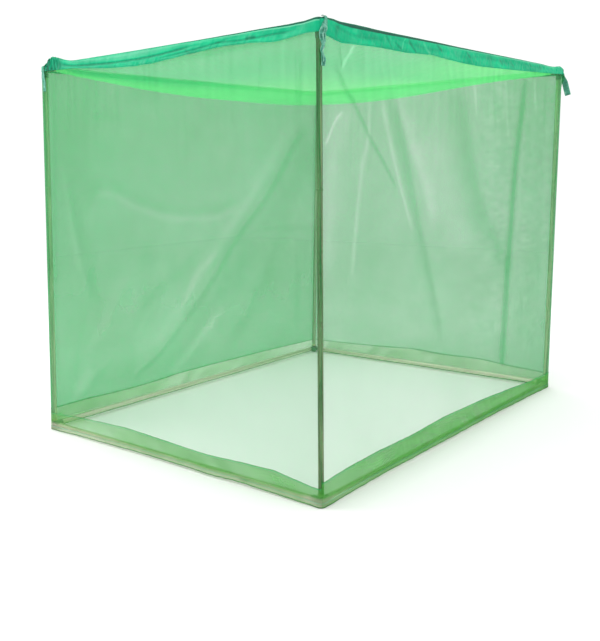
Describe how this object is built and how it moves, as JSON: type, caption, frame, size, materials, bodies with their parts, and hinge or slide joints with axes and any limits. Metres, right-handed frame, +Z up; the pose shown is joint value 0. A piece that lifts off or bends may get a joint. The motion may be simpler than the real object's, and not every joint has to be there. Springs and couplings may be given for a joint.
{
  "type": "mosquito net canopy on a pole frame",
  "caption": "Box-shaped sheer mosquito net with satin top bands, hem borders and corner ties, hung over a free-standing push-fit tube frame.",
  "frame": {"origin": "middle of the outline on the surface that the canopy stands on", "axes": "+Z up; +Y along the length from the foot wall to the head wall; +X to the right seen from the foot"},
  "size_m": [1.538, 1.9616, 1.5449],
  "materials": {
    "net": "sheer knitted net, light green",
    "band": "satin ribbon, sea green",
    "border": "close-woven green cloth",
    "tie": "satin tape, grey green",
    "steel": "drawn steel tube",
    "fitting": "moulded grey plastic",
    "collar": "moulded cream plastic"
  },
  "bodies": {
    "root": {"roof": "net", "foot_wall": "net", "right_wall": "net", "head_wall": "net", "left_wall": "net", "foot_top_band": "band", "right_top_band": "band", "head_top_band": "band", "left_top_band": "band", "foot_border": "border", "right_border": "border", "head_border": "border", "left_border": "border", "tie_near_loop": "tie", "tie_near_end": "tie", "tie_left_wrap": "tie", "tie_left_end": "tie", "tie_right_wrap": "tie", "tie_right_end": "tie", "tie_back_wrap": "tie", "tie_back_end": "tie", "foot_high_rail": "steel", "right_high_rail": "steel", "head_high_rail": "steel", "left_high_rail": "steel", "foot_low_rail": "steel", "right_low_rail": "steel", "head_low_rail": "steel", "left_low_rail": "steel", "post_left_lower": "steel", "post_near_lower": "steel", "post_right_lower": "steel", "post_back_lower": "steel", "post_left_upper": "steel", "post_near_upper": "steel", "post_right_upper": "steel", "post_back_upper": "steel", "elbow_left": "fitting", "elbow_near": "fitting", "elbow_right": "fitting", "elbow_back": "fitting", "foot_left": "fitting", "foot_near": "fitting", "foot_right": "fitting", "foot_back": "fitting", "collar_left": "collar", "collar_near": "collar", "collar_right": "collar", "collar_back": "collar"}
  },
  "joints": []
}
